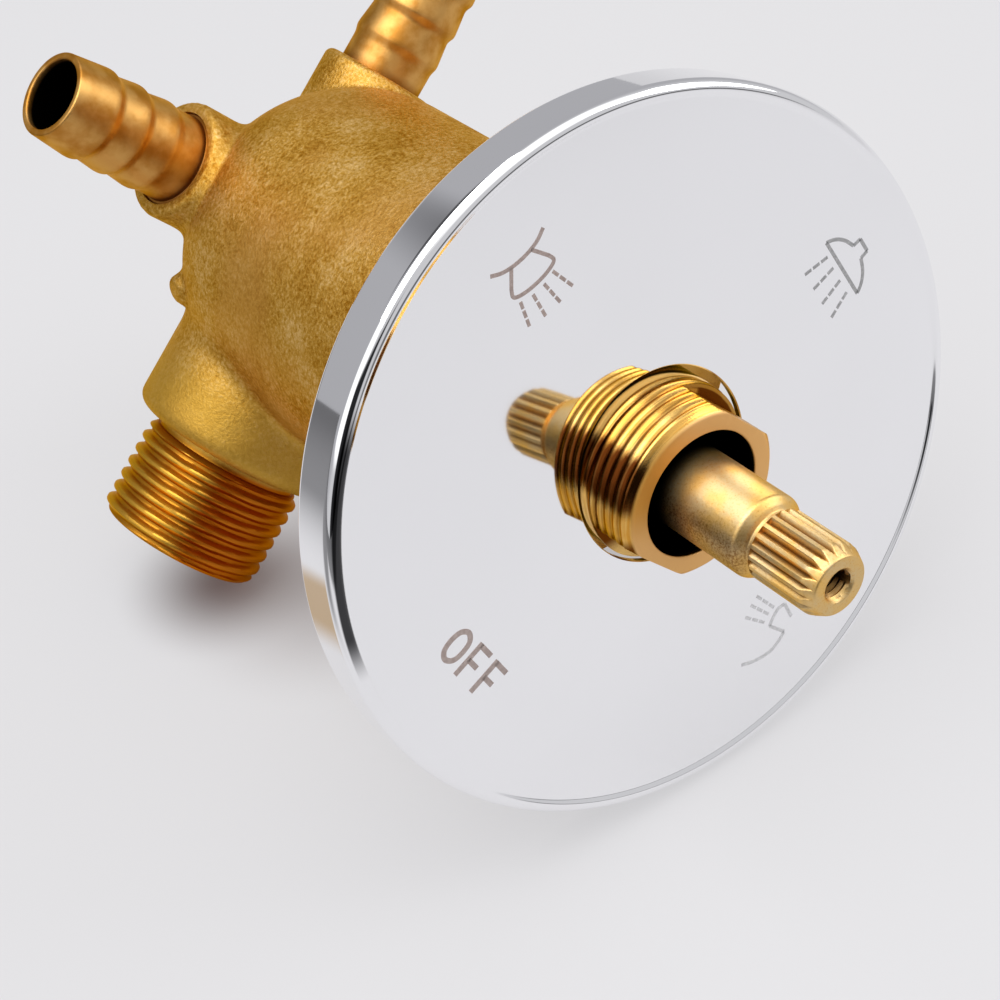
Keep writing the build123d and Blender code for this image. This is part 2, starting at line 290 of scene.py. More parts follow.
inletThread = {
    "crest": 10.4775, "depth": 0.72, "pitch": 1.814, "start": 29.2, "end": 41.7,
    "relief": 9.2, "chamfer": 0.9, "root": 18.0, "segments": 216, "step": 0.16,
}


def inletSpigot():
    # the thread's groove is cut below the crest, and the chamfers stay where they are lower
    t = inletThread
    outline = [
        (0, t["root"], 0), (t["relief"], t["root"], 0),
        (t["relief"], t["start"], 0.1), (t["crest"] - t["chamfer"], t["start"], 0.1),
        (t["crest"], t["start"] + t["chamfer"], 0.1), (t["crest"], t["end"] - t["chamfer"], 0.1),
        (t["crest"] - t["chamfer"], t["end"], 0.15), (0, t["end"], 0),
    ]

    def groove(radius, along, angle):
        cut = t["crest"] - t["depth"] * threadShare(along, angle, t["pitch"])
        return np.where(along > t["start"] - 0.01, np.minimum(radius, cut), radius)

    fine = (t["start"] - 0.1, t["end"] + 0.1, t["step"])
    return turnedPiece("spigot", outline, portPlace(*castBody["inlet"][:2]), t["segments"], groove, fine)


def waterWays():
    # the chamber and its mouth, the inlet's bore, and for each outlet its hole, seat and way down
    c, over = castBody, castBody["overshoot"]
    front = c["barrel"][1] - over
    chamberRadius, chamberEnd = c["chamber"]
    mouthRadius, mouthEnd = c["mouth"]
    seatRadius, seatEnd = c["seat"]
    boreRadius, boreStart = c["inletBore"]
    tailRadius, tailStart = c["tailHole"]
    flowRadius, flowStart = c["flowHole"]
    outletDepth, _, outletReach, _ = c["outlet"]
    rods = [plainRod(stemPlace(), chamberRadius, front, chamberEnd),
            plainRod(stemPlace(), mouthRadius, front, mouthEnd),
            plainRod(portPlace(*c["inlet"][:2]), boreRadius, boreStart, inletThread["end"] + over)]
    for bearing in c["outlets"]:
        outletPlace = portPlace(bearing, outletDepth)
        dropPlace = (stemPlace()[0], portPlace(bearing, 0)[0][2] * flowStart)
        rods += [plainRod(outletPlace, tailRadius, tailStart, outletReach + over),
                 plainRod(outletPlace, flowRadius, flowStart, tailStart + over),
                 plainRod(dropPlace, seatRadius, chamberEnd - over, seatEnd),
                 plainRod(dropPlace, flowRadius, chamberEnd - over, outletDepth)]
    return rods


body = castSkin()
carve(body, [inletSpigot()], "UNION")
carve(body, waterWays())
crisp(body)
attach(body, "valve")
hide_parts("valve_body")
print("cast body:", len(body.data.loops) - 2 * len(body.data.polygons), "triangles")


# hose barbs, turned, with a tapered crest for each bite of the hose

hoseBarb = {
    "depth": 65.8, "start": 13.52, "tail": 5.85, "tailEnd": 20.9, "shank": 5.4, "bore": 4.25,
    "crest": 5.65, "valley": 5.25, "tip": 5.1, "end": 39.85,
    "crests": (25.3, 29.8, 34.3), "slope": 0.9, "land": 0.5, "segments": 128,
    "places": {"upper_left": 135, "upper_right": 45, "lower_right": 315},
}


def barbOutline():
    h = hoseBarb
    outline = [(h["bore"], h["start"], 0.1), (h["tail"], h["start"], 0.1),
               (h["tail"], h["tailEnd"], 0.3), (h["shank"], h["tailEnd"], 0.3)]
    foot = h["shank"]
    for crest in h["crests"]:
        outline += [(foot, crest - h["slope"], 0.35), (h["crest"], crest, 0.2),
                    (h["crest"], crest + h["land"], 0.25)]
        foot = h["valley"]
    return outline + [(h["tip"], h["end"], 0.3), (h["bore"], h["end"], 0.3)]


barbs = []
for place, bearing in hoseBarb["places"].items():
    barb = turnedPiece("hoseBarb_" + place, barbOutline(), portPlace(bearing, hoseBarb["depth"]),
                       hoseBarb["segments"])
    crisp(barb)
    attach(barb, "valve")
    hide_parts("hose_barb_" + place)
    barbs.append(barb)
print("hose barbs:", len(barbs))


# headwork bonnet: neck with its thread and flats, hexagon, plug and windowed skirt

headwork = {
    "neck": 10.0, "front": -12.4, "chamfer": 0.9, "bore": 7.2, "boreEnd": 8.0,
    "pitch": 1.3, "depth": 0.15, "threadEnd": 3.0, "flat": 8.5, "flatEnd": -6.8, "flatBearing": 45,
    "collarFront": 6.0, "collarRear": 15.0, "acrossFlats": 36.0, "bevel": 2.0,
    "plug": 15.95, "plugEnd": 40.0, "skirt": 14.4, "skirtBore": 12.8, "skirtEnd": 57.5,
    "bearing": 4.72, "bearingEnd": 36.06, "pocket": 8.6,
    "windows": (225, 315, 45, 135), "windowWidth": 10.0, "windowEnd": 48.48,
    "segments": 240, "step": 0.125,
}


def headworkShape(radius, along, angle):
    # outside the neck the thread and the two flats cut in, and the collar follows a hexagon
    h = headwork
    fade = 1 - ramp(along, h["threadEnd"] - 1.5, h["threadEnd"])
    cut = h["neck"] - h["depth"] * threadShare(along, angle, h["pitch"]) * fade
    flat = h["flat"] / np.maximum(np.abs(np.cos(angle + np.radians(h["flatBearing"]))), 0.05)
    flatted = np.where(along < h["flatEnd"], np.minimum(cut, flat), cut)
    onNeck = (radius > h["bore"] + 0.1) & (along < h["collarFront"] - 0.05)
    sixth = np.pi / 3
    hexagon = h["acrossFlats"] / 2 / np.cos(np.mod(angle, sixth) - sixth / 2)
    onCollar = (radius > h["plug"] + 0.3) & (along > h["collarFront"] - 0.05)
    radius = np.where(onNeck, np.minimum(radius, flatted), radius)
    return np.where(onCollar, np.minimum(radius, hexagon), radius)


def bonnetPiece():
    h = headwork
    corner = h["acrossFlats"] / np.sqrt(3)
    rise = h["bevel"] * np.tan(np.radians(30))
    outline = [
        (h["bore"], h["front"], 0.2), (h["neck"] - h["chamfer"], h["front"], 0.2),
        (h["neck"], h["front"] + h["chamfer"], 0.2), (h["neck"], h["flatEnd"] - 0.005, 0),
        (h["neck"], h["flatEnd"] + 0.005, 0), (h["neck"], h["collarFront"], 0.3),
        (corner - h["bevel"], h["collarFront"], 0.2), (corner, h["collarFront"] + rise, 0.2),
        (corner, h["collarRear"], 0.2), (h["plug"], h["collarRear"], 0.05),
        (h["plug"], h["plugEnd"], 0.2), (h["skirt"], h["plugEnd"], 0.1),
        (h["skirt"], h["skirtEnd"], 0.1), (h["skirtBore"], h["skirtEnd"], 0.1),
        (h["skirtBore"], h["plugEnd"], 0.1), (h["pocket"], h["plugEnd"], 0.1),
        (h["pocket"], h["bearingEnd"], 0.1), (h["bearing"], h["bearingEnd"], 0.1),
        (h["bearing"], h["boreEnd"], 0.1), (h["bore"], h["boreEnd"], 0.2),
    ]
    fine = (h["front"] - 0.1, h["collarFront"] + 0.1, h["step"])
    return turnedPiece("bonnet", outline, stemPlace(), h["segments"], headworkShape, fine)


def slab(bearing, reach, width, start, end):
    # a box from the axis out along a bearing: every pairing of its ends along, across and outwards
    along, across, out = np.meshgrid([start, end], [-width / 2, width / 2], [0, reach], indexing="ij")
    local = np.stack([along, across, out], -1).reshape(-1, 3)
    quads = np.array([(0, 1, 3, 2), (4, 6, 7, 5), (0, 4, 5, 1), (2, 3, 7, 6), (0, 2, 6, 4), (1, 5, 7, 3)])
    return newPiece("slab", placed(local, portPlace(bearing, 0)), quads)


bonnet = bonnetPiece()
carve(bonnet, [slab(bearing, 2 * headwork["skirt"], headwork["windowWidth"], headwork["plugEnd"] + 0.02,
                    headwork["windowEnd"]) for bearing in headwork["windows"]])
crisp(bonnet)
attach(bonnet, "valve")
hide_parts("bonnet")
print("bonnet:", len(bonnet.data.loops) - 2 * len(bonnet.data.polygons), "triangles")


# spindle: spline with a threaded hole at the tip, shaft, flange and tang

stemSpindle = {
    "spline": 4.0, "root": 3.45, "teeth": 20, "gap": 0.106, "front": -32.44, "splineEnd": -23.74,
    "nose": 3.25, "noseEnd": -30.94, "shaftStart": -22.64, "shaft": 4.67, "shoulder": 0.7,
    "hole": 1.65, "holeMouth": 0.35, "holeEnd": -20.44, "screwPitch": 0.7, "screwDepth": 0.33,
    "clip": (6.96, 8.0), "clipFloor": 3.87, "rings": (25.56, 31.56), "ringHalf": 0.9, "ringFloor": 3.15,
    "flangeFront": 37.6, "flangeRear": 40.0, "flange": 8.5,
    "tangEnd": 46.86, "tangHalfSpan": 4.3, "tangHalfWidth": 3.0, "segments": 400, "step": 0.35,
}


def spindleShape(radius, along, angle):
    # a V gap between teeth, a thread inside the hole and a flat-sided tang behind the flange
    s = stemSpindle
    pitch = fullTurn / s["teeth"]
    off = np.abs(np.mod(angle + pitch / 2, pitch) - pitch / 2)
    gap = s["root"] + (s["spline"] - s["root"]) * np.clip(off / s["gap"], 0, 1)
    splined = (along < s["splineEnd"] - 0.02) & (radius > s["hole"] + 0.6)
    radius = np.where(splined, np.minimum(radius, gap), radius)
    painted_light_in_hole = (radius > 0.5) & (radius < s["hole"] + 0.02) & (along < s["holeEnd"] - 0.3)
    thread = s["screwDepth"] * threadShare(along, angle, s["screwPitch"])
    radius = np.where(painted_light_in_hole, radius + thread, radius)
    span = s["tangHalfSpan"] / np.maximum(np.abs(np.cos(angle)), 0.01)
    width = s["tangHalfWidth"] / np.maximum(np.abs(np.sin(angle)), 0.01)
    onTang = along > s["flangeRear"] + 0.001
    return np.where(onTang, np.minimum(radius, np.minimum(span, width)), radius)


def spindlePiece():
    s = stemSpindle
    tang = np.hypot(s["tangHalfSpan"], s["tangHalfWidth"])
    outline = [
        (0, s["holeEnd"], 0), (s["hole"], s["holeEnd"], 0), (s["hole"], s["front"] + s["holeMouth"], 0.1),
        (s["hole"] + s["holeMouth"], s["front"], 0.15), (s["nose"], s["front"], 0.2),
        (s["spline"], s["noseEnd"], 0.3), (s["spline"], s["splineEnd"], 0.05),
        (s["root"], s["splineEnd"] + 0.02, 0.05), (s["root"], s["shaftStart"] - s["shoulder"] / 2, 0.15),
        (s["shaft"] - s["shoulder"], s["shaftStart"], 0.15),
        (s["shaft"], s["shaftStart"] + s["shoulder"], 0.3),
    ]
    grooves = [(s["clipFloor"], *s["clip"])]
    grooves += [(s["ringFloor"], middle - s["ringHalf"], middle + s["ringHalf"]) for middle in s["rings"]]
    for floor, start, end in grooves:
        outline += [(s["shaft"], start, 0.05), (floor, start, 0.05),
                    (floor, end, 0.05), (s["shaft"], end, 0.05)]
    outline += [
        (s["shaft"], s["flangeFront"], 0.1), (s["flange"], s["flangeFront"], 0.1),
        (s["flange"], s["flangeRear"], 0.1), (tang, s["flangeRear"], 0), (tang, s["flangeRear"] + 0.01, 0),
        (tang, s["tangEnd"], 0), (0, s["tangEnd"], 0),
    ]
    fine = (s["front"] - 0.1, s["holeEnd"] + 0.1, s["step"])
    return turnedPiece("spindle", outline, stemPlace(), s["segments"], spindleShape, fine)


spindle = spindlePiece()
crisp(spindle)
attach(spindle, "stem")
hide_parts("spindle")
print("spindle:", 2 * len(spindle.data.polygons), "triangles")


# wall plate: a shallow cup that hangs on the neck and leans

wallPlate = {
    "radius": 40.0, "depth": 6.0, "sheet": 0.8, "edge": 1.1, "hole": 10.75, "holeEdge": 0.12,
    "lipHeight": 0.3, "lipFoot": 38.2, "rearEdge": 0.7,
    "proud": 6.05, "lift": 0.45, "lean": 8.0, "turn": 1.2, "segments": 512, "markLift": 0.012,
}


def platePlace():
    # local z runs back from the face, x to the right and y down
    w = wallPlate
    back = np.array([np.tan(np.radians(w["turn"])), 1, -np.tan(np.radians(w["lean"]))])
    back = back / np.linalg.norm(back)
    right = np.array([1.0, 0, 0]) - back[0] * back
    right = right / np.linalg.norm(right)
    return np.array([right, np.cross(back, right), back]), np.array([0, -w["proud"], w["lift"]])


def quarterRound(radius, along, size, start, turns=9):
    # radius + size sin t, along - size cos t for a quarter turn from the start
    t = np.linspace(start, start + np.pi / 2, turns)
    return np.stack([radius + size * np.sin(t), along - size * np.cos(t)], -1)


def platePiece():
    # face, lip, rounded edge, rim and inside of the cup, turned about the plate's own axis
    # the lip rises by 3s^2 - 2s^3 of its height from its foot to the rounding
    w = wallPlate
    rim, sheet, edge, near = w["radius"], w["sheet"], w["edge"], 0.02
    share = np.linspace(0, 1, 15)
    lip = np.stack([w["lipFoot"] + (rim - edge - w["lipFoot"]) * share,
                    -w["lipHeight"] * share**2 * (3 - 2 * share)], -1)
    holeTop = w["hole"] + w["holeEdge"]
    face = [(w["hole"], w["holeEdge"]), (holeTop, 0), (holeTop + near, 0), (w["lipFoot"] - near, 0)]
    front = quarterRound(rim - edge, edge - w["lipHeight"], edge, 0, 15)
    wall = [(rim, edge - w["lipHeight"] + near), (rim, w["depth"] - w["rearEdge"] - near)]
    rear = quarterRound(rim - w["rearEdge"], w["depth"] - w["rearEdge"], w["rearEdge"], np.pi / 2)
    inner = quarterRound(rim - sheet - edge, sheet + edge, edge, 0)[::-1]
    inside = [(rim - sheet, w["depth"]), (rim - sheet, w["depth"] - near), (rim - sheet, sheet + edge + near)]
    back = [(w["hole"] + near, sheet), (w["hole"], sheet)]
    rows = np.vstack([face, lip, front[1:], wall, rear, inside, inner, back])
    points = spun(rows, platePlace(), w["segments"])
    return newPiece("wallPlate", points, gridQuads(len(rows), w["segments"], True))


plate = platePiece()
crisp(plate, 40)
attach(plate, "valve")
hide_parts("wall_plate")
print("wall plate:", len(plate.data.polygons), "faces")


# marks etched on the plate: strokes as flat ribbons, out from the centre and to the left of it

plateMarks = {
    "width": 0.42, "thickness": 0.024, "dashes": 3, "dashShare": 0.78, "dashWidth": 0.38,
    "jets": {"bearing": 113.4, "lines": [
        [(32.11, 3.64), (31.46, 2.52), (31.11, 1.34), (30.96, 0.1), (30.98, -1.13), (31.21, -2.33),
         (31.74, -3.48)],
        [(31.09, 1.44), (29.28, 2.69)], [(30.96, -1.23), (29.02, -2.39)],
        [(29.28, 2.69), (28.58, 2.94), (28.18, 2.51), (27.87, 1.43), (27.73, 0.19), (27.74, -1.05),
         (27.94, -2.14), (28.3, -2.6), (29.02, -2.39)]],
        "rays": [((27.36, -1.83), (24.44, -2.7)), ((27.05, -0.38), (24.14, -0.71)),
                 ((27.1, 1.15), (24.23, 1.33)), ((27.54, 2.62), (24.76, 3.28))]},
    "head": {"bearing": 25.6, "lines": [
        [(29.0, 3.43), (29.0, -4.69)],
        [(29.0, 3.43), (29.81, 2.99), (30.49, 2.36), (31.04, 1.52), (31.51, 0.29)],
        [(31.51, 0.29), (32.58, 0.19)], [(32.58, 0.19), (32.58, -1.68)], [(32.58, -1.68), (31.51, -1.71)],
        [(31.51, -1.71), (31.04, -2.9), (30.48, -3.71), (29.8, -4.3), (29.0, -4.69)]],
        "rays": [((28.25, 1.97), (24.99, 2.69)), ((28.16, 0.33), (24.94, 0.41)),
                 ((28.08, -1.57), (24.88, -1.9)), ((28.01, -3.42), (24.94, -4.22))]},
    "hand": {"bearing": -68.8, "lines": [
        [(27.69, 3.7), (27.46, 2.85), (27.77, 1.9), (28.41, 0.77)], [(28.41, 0.77), (30.73, 1.93)],
        [(27.69, 3.7), (29.85, 3.63)],
        [(30.73, 1.93), (31.11, 0.85), (31.32, -0.41), (31.03, -1.82), (30.36, -3.29), (29.5, -4.52)]],
        "rays": [((23.63, 1.33), (26.84, 2.38)), ((23.98, 0.18), (26.94, 1.39)),
                 ((24.71, -1.11), (27.43, 0.49))]},
    "off": {"bearing": 204.1, "width": 0.62, "lines": [
        [(30.9, -1.29), (26.62, -1.43)], [(26.9, -1.42), (26.83, 0.58)], [(28.84, -1.36), (28.77, 0.31)],
        [(30.87, 1.85), (26.58, 1.71)], [(26.86, 1.72), (26.79, 3.74)], [(28.8, 1.78), (28.73, 3.39)],
        [(30.6, -3.66), (30.0, -2.78), (28.76, -2.58), (27.52, -2.86), (27.0, -3.76), (27.6, -4.58),
         (28.84, -4.8), (30.08, -4.52), (30.6, -3.66)]],
        "rays": []},
}


def ribbon(line, width, thickness):
    # a thin box section carried along a smooth path; between two points the path is a cubic
    # whose slope at each point is half the step from the point before it to the point after it
    line = np.array(line, float)
    if len(line) > 2:
        knots = np.arange(len(line))
        t = np.linspace(0, len(line) - 1, 8 * len(line))
        ends = np.vstack([2 * line[0] - line[1], line, 2 * line[-1] - line[-2]])
        if np.allclose(line[0], line[-1]):
            ends = np.vstack([line[-2], line, line[1]])
        slope = (ends[2:] - ends[:-2]) / 2
        k = np.minimum(t.astype(int), len(line) - 2)
        u = (t - knots[k])[:, None]
        line = ((2 * u**3 - 3 * u**2 + 1) * line[k] + (u**3 - 2 * u**2 + u) * slope[k]
                + (3 * u**2 - 2 * u**3) * line[k + 1] + (u**3 - u**2) * slope[k + 1])
    way = np.gradient(line, axis=0)
    way = way / np.linalg.norm(way, axis=1)[:, None]
    side = np.stack([-way[:, 1], way[:, 0]], -1) * width / 2
    section = np.stack([line + side, line - side, line - side, line + side], 1)
    lift = np.array([-1, -1, 1, 1]) * thickness / 2
    flat = np.concatenate([section, np.broadcast_to(lift[None, :, None], section.shape[:2] + (1,))], -1)
    capped = np.concatenate([flat[:1].mean(1, keepdims=True) + 0 * flat[:1], flat,
                             flat[-1:].mean(1, keepdims=True) + 0 * flat[-1:]])
    return capped


def dashesOf(ray):
    # a ray becomes dashes of equal length with gaps between them
    start, end = np.array(ray[0]), np.array(ray[1])
    count, share = plateMarks["dashes"], plateMarks["dashShare"]
    step = (end - start) / (count - 1 + share)
    return [(start + step * k, start + step * (k + share)) for k in range(count)]


def markPiece(name):
    m = plateMarks[name]
    width = m.get("width", plateMarks["width"])
    strokes = [ribbon(line, width, plateMarks["thickness"]) for line in m["lines"]]
    strokes += [ribbon(dash, plateMarks["dashWidth"], plateMarks["thickness"])
                for ray in m["rays"] for dash in dashesOf(ray)]
    angle = np.radians(m["bearing"])
    points, quads, used = [], [], 0
    for stroke in strokes:
        out, left, lift = stroke.reshape(-1, 3).T
        right = out * np.cos(angle) - left * np.sin(angle)
        up = out * np.sin(angle) + left * np.cos(angle)
        local = np.stack([right, -up, -lift - wallPlate["markLift"]], -1)
        points.append(placed(local, platePlace()))
        quads.append(gridQuads(len(stroke), 4, False) + used)
        used += len(stroke) * 4
    piece = newPiece(name + "Mark", np.vstack(points), np.vstack(quads))
    closePoles(piece)
    return crisp(piece, 30)


marks = {}
for name in ("jets", "head", "hand", "off"):
    marks[name] = markPiece(name)
    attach(marks[name], "valve")
print("marks:", len(marks))


# finishes

class Wire:
    # a socket of a shader tree; arithmetic on it adds Math nodes
    def __init__(self, tree, socket):
        self.tree = tree
        self.socket = socket

    def plug(self, target, value):
        if isinstance(value, Wire):
            self.tree.links.new(value.socket, target)
        else:
            target.default_value = value

    def node(self, kind, settings=None, inputs=None, output=0):
        # settings come first; a ramp's stops are pairs of place and colour
        made = self.tree.nodes.new("ShaderNode" + kind)
        for name, value in (settings or {}).items():
            if name == "stops":
                elements = made.color_ramp.elements
                while len(elements) < len(value):
                    elements.new(0.5)
                for element, (place, colour) in zip(elements, value):
                    element.position = place
                    element.color = colour
            else:
                setattr(made, name, value)
        for name, value in (inputs or {}).items():
            self.plug(made.inputs[name], value)
        return Wire(self.tree, made.outputs[output])

    def math(self, operation, first, second=0.0):
        return self.node("Math", {"operation": operation}, {0: first, 1: second})

    def __add__(self, other): return self.math("ADD", self, other)
    def __radd__(self, other): return self.math("ADD", other, self)
    def __sub__(self, other): return self.math("SUBTRACT", self, other)
    def __rsub__(self, other): return self.math("SUBTRACT", other, self)
    def __mul__(self, other): return self.math("MULTIPLY", self, other)
    def __rmul__(self, other): return self.math("MULTIPLY", other, self)
    def __truediv__(self, other): return self.math("DIVIDE", self, other)
    def __rtruediv__(self, other): return self.math("DIVIDE", other, self)
    def __pow__(self, other): return self.math("POWER", self, other)

    def root(self): return self.math("SQRT", self)

    def between(self, low, high):
        # 0 at or below low and 1 at or above high, with soft ends
        return self.node("MapRange", {"interpolation_type": "SMOOTHSTEP"},
                         {"Value": self, "From Min": low, "From Max": high, "To Min": 0.0, "To Max": 1.0})

    def span(self, low, high):
        # the same, with both ends in millimetres
        return self.between(low * mm, high * mm)

    def grain(self, scale, detail=2.0, roughness=0.5):
        # noise read at this place
        return self.node("TexNoise", {}, {"Vector": self, "Scale": scale, "Detail": detail,
                                          "Roughness": roughness})

    def stretch(self, scales):
        # the place scaled by its own amount along each axis
        return self.node("VectorMath", {"operation": "MULTIPLY"}, {0: self, 1: scales})

    def colours(self, *stops):
        stops = [(place, (*colour, 1)) for place, colour in stops]
        return self.node("ValToRGB", {"stops": stops}, {"Fac": self})

    def blend(self, first, second, kind="MIX"):
        # this value mixes from the first colour to the second
        colour = lambda c: c if isinstance(c, Wire) else (*c, 1)
        return self.node("Mix", {"data_type": "RGBA", "blend_type": kind},
                         {0: self, 6: colour(first), 7: colour(second)}, 2)

    def bump(self, strength, distance):
        return self.node("Bump", {}, {"Height": self, "Strength": strength, "Distance": distance})

    def axes(self):
        split = self.node("SeparateXYZ", {}, {0: self}).socket.node
        return [Wire(self.tree, output) for output in split.outputs]


def newFinish(name, **constants):
    material = bpy.data.materials.new(name)
    material.use_nodes = True
    tree = material.node_tree
    shader = tree.nodes["Principled BSDF"]
    for socket, value in constants.items():
        shader.inputs[socket.replace("_", " ")].default_value = value
    here = Wire(tree, tree.nodes.new("ShaderNodeTexCoord").outputs["Object"])
    return material, shader.inputs, here


def finished(material, shader, **sockets):
    for name, value in sockets.items():
        value.plug(shader[name.replace("_", " ")], value)
    return material


def wear(piece, material):
    piece.data.materials.clear()
    piece.data.materials.append(material)


brassEdge = (1.0, 0.7, 0.3, 1)  # brass stays warm at a grazing look

# in each look: colours, then grains as scale, detail and roughness,
# then pairs in millimetres where a change starts and where it is full

castLook = {
    "deep": (0.36, 0.155, 0.010), "skin": (0.58, 0.33, 0.060), "pale": (0.78, 0.54, 0.22),
    "pink": (0.60, 0.32, 0.085), "olive": (0.56, 0.34, 0.055), "thread": (0.60, 0.33, 0.045),
    "root": (0.40, 0.15, 0.010), "shade": (0.50, 0.12, 0.004), "inside": (0.012, 0.006, 0.003),
    "cloud": (140.0, 4.0), "sand": (2600.0, 3.0, 0.7), "speck": (1300.0, 3.0, 0.65),
    "patch": (60.0, 3.0), "lumps": (700.0, 2.0),
    "machinedFrom": (28.4, 29.0), "oliveFrom": (16.0, 24.0), "crestFrom": (9.7, 10.35),
    "shadeSide": (-0.76, -0.65), "shadeFrom": (-1.0, 1.5), "wallFrom": (7.05, 7.3), "boreFrom": (8.0, 10.0),
}


def castFinish():
    material, shader, here = newFinish("castBrass", Metallic=1.0, Specular_Tint=brassEdge)
    c = castLook
    x, y, z = here.axes()
    inletBearing, inletDepth = castBody["inlet"][:2]
    lean = np.cos(np.radians(inletBearing))
    along = (x + z) * lean
    across = (x - z) * lean
    deep = y - inletDepth * mm
    off = (across * across + deep * deep).root()
    machined = along.span(*c["machinedFrom"])
    sand = here.grain(*c["sand"])
    tone = here.grain(*c["cloud"]) * 0.35 + sand * 0.35 + here.grain(*c["speck"]) * 0.3
    cast = tone.colours((0.36, c["deep"]), (0.5, c["skin"]), (0.66, c["pale"]))
    cast = (here.grain(*c["patch"]).between(0.5, 0.7) * 0.45).blend(cast, c["pink"])
    cast = (along.span(*c["oliveFrom"]) * 0.7).blend(cast, c["olive"])
    groove = 1 - off.span(*c["crestFrom"])
    turned = (groove * 0.8).blend(c["thread"], c["root"])
    # painted dark reflection: the thread is darker on its side towards the back of the plate
    away = across * c["shadeSide"][0] + deep * c["shadeSide"][1]  # towards the back of the plate
    turned = (away.span(*c["shadeFrom"]) * 0.85).blend(turned, c["shade"])
    # painted shade inside the inlet's bore
    inside = (1 - off.span(*c["wallFrom"])) * along.span(*c["boreFrom"])
    colour = inside.blend(machined.blend(cast, turned), c["inside"])
    height = (sand + here.grain(*c["lumps"]) * 0.5) * (1 - machined * 0.9)
    return finished(material, shader, Base_Color=colour, Roughness=0.44 + sand * 0.2 - machined * 0.16,
                    Normal=height.bump(0.4, 0.00022))


turnedLook = {
    "bright": (0.80, 0.50, 0.15), "warm": (0.64, 0.31, 0.045), "pale": (0.69, 0.51, 0.26),
    "lit": (0.95, 0.60, 0.18), "stain_and_shade": (0.12, 0.030, 0.005), "sandy": (0.80, 0.50, 0.21),
    "ochre": (0.66, 0.34, 0.06), "flat": (0.56, 0.28, 0.045), "inside": (0.004, 0.003, 0.002),
}

neckLook = {
    "patch": (260.0, 4.0), "sand": (5200.0, 2.0, 0.6),
    "lines": (140.0, 5200.0, 140.0), "rings": (40.0, 2300.0, 40.0),  # fine and coarse tool lines
    "ochreAcross": (-7.0, 0.5), "ochreUp": (-3.0, 3.0), "skinFrom": (9.2, 9.4),
    "flatFrom": (8.0, 8.3), "flatTo": (9.3, 9.6),
    "left": ((-0.883, 0.47), (0.93, 0.985)), "under": ((-0.819, -0.574), (0.87, 0.95)),  # side, cosines
    "shadeFrom": (0.8, 1.0), "shadeTo": (3.5, 5.5), "holeFrom": (-0.2, 0.2), "holeTo": (1.0, 2.0),
}


def onPlate(here):
    # the place measured from the plate's centre: to the right, down, and back from its face
    turn, centre = platePlace()
    return [sum(axis * float(part) for axis, part in zip(here.axes(), row)) - float(row @ centre) * mm
            for row in turn]


def neckFinish():
    material, shader, here = newFinish("neckBrass", Metallic=1.0, Specular_Tint=brassEdge)
    c, n, h = turnedLook, neckLook, headwork
    front, flatEnd = h["front"], h["flatEnd"]
    x, y, z = here.axes()
    off = (x * x + z * z).root()

    def stripe(side, cosines):
        return ((x * side[0] + z * side[1]) / off).between(*cosines)

    patch, sand = here.grain(*n["patch"]), here.grain(*n["sand"])
    lines = here.stretch(n["lines"]).grain(1.0, 3.0)
    rings = here.stretch(n["rings"]).grain(1.0, 2.0)
    colour = (patch * 0.5 + lines * 0.5).between(0.4, 0.64).blend(c["bright"], c["warm"])
    colour = (rings.between(0.5, 0.62) * 0.6).blend(colour, c["flat"])
    face = 1 - y.span(front + 0.05, front + 0.35)
    # painted dark reflection: the front face turns ochre on its upper left
    ochre = (1 - x.span(*n["ochreAcross"])) * z.span(*n["ochreUp"])
    colour = face.blend(colour, (ochre * 0.85).blend(c["sandy"], c["ochre"]))

    # stains in the thread's roots and at the rear of the flats, and painted shade standing for dark reflections
    # in two stripes on the left
    onNeck = off.span(*n["skinFrom"]) * y.span(front + 0.7, front + 1.2)
    groove = (1 - off.span(h["neck"] - h["depth"], h["neck"] - 0.04)) * onNeck
    left, under = stripe(*n["left"]), stripe(*n["under"])
    stain_and_shade = groove * (0.2 + lines * 0.4) + (left * (0.75 + lines * 0.4) + under) * (1 - face)
    flat = off.span(*n["flatFrom"]) * (1 - off.span(*n["flatTo"])) * (1 - face)
    flat = flat * y.span(front + 1.0, front + 1.3) * (1 - y.span(flatEnd, flatEnd + 0.1))
    colour = flat.blend(colour, c["flat"])
    rear = y.span(flatEnd - 1.1, flatEnd - 0.2)
    stain_and_shade = here.math("MINIMUM", stain_and_shade + flat * rear * patch.between(0.38, 0.52), 1.0)
    colour = stain_and_shade.blend(colour, c["stain_and_shade"])

    # painted light where the neck passes through the plate, lighter and less metallic, and painted shade in its
    # bore and just behind the plate
    depth = onPlate(here)[2]
    inside = (1 - off.span(h["bore"] + 0.02, h["bore"] + 0.2)) * y.span(front + 0.1, front + 1.0)
    behind = depth.span(*n["shadeFrom"]) * (1 - depth.span(*n["shadeTo"]))
    painted_shade = here.math("MAXIMUM", inside, behind)
    painted_light_in_hole = depth.span(*n["holeFrom"]) * (1 - depth.span(*n["holeTo"])) * (1 - left)
    colour = painted_shade.blend(painted_light_in_hole.blend(colour, c["lit"]), c["inside"])
    return finished(material, shader, Base_Color=colour, Metallic=1 - painted_light_in_hole * (1 - painted_shade) * 0.85,
                    Roughness=0.15 + lines * 0.14 + face * 0.4,
                    Normal=(sand * 0.4 + lines).bump(0.3, 0.00012))


stemLook = {
    "patch": (300.0, 3.0), "sand": (4200.0, 3.0, 0.65), "specks": (4600.0, 3.0, 0.65),
    "underAcross": (-4.4, -2.2), "underUp": (0.5, 3.4), "holeWall": (2.0, 2.15), "deepFrom": (-12.8, -10.4),
}


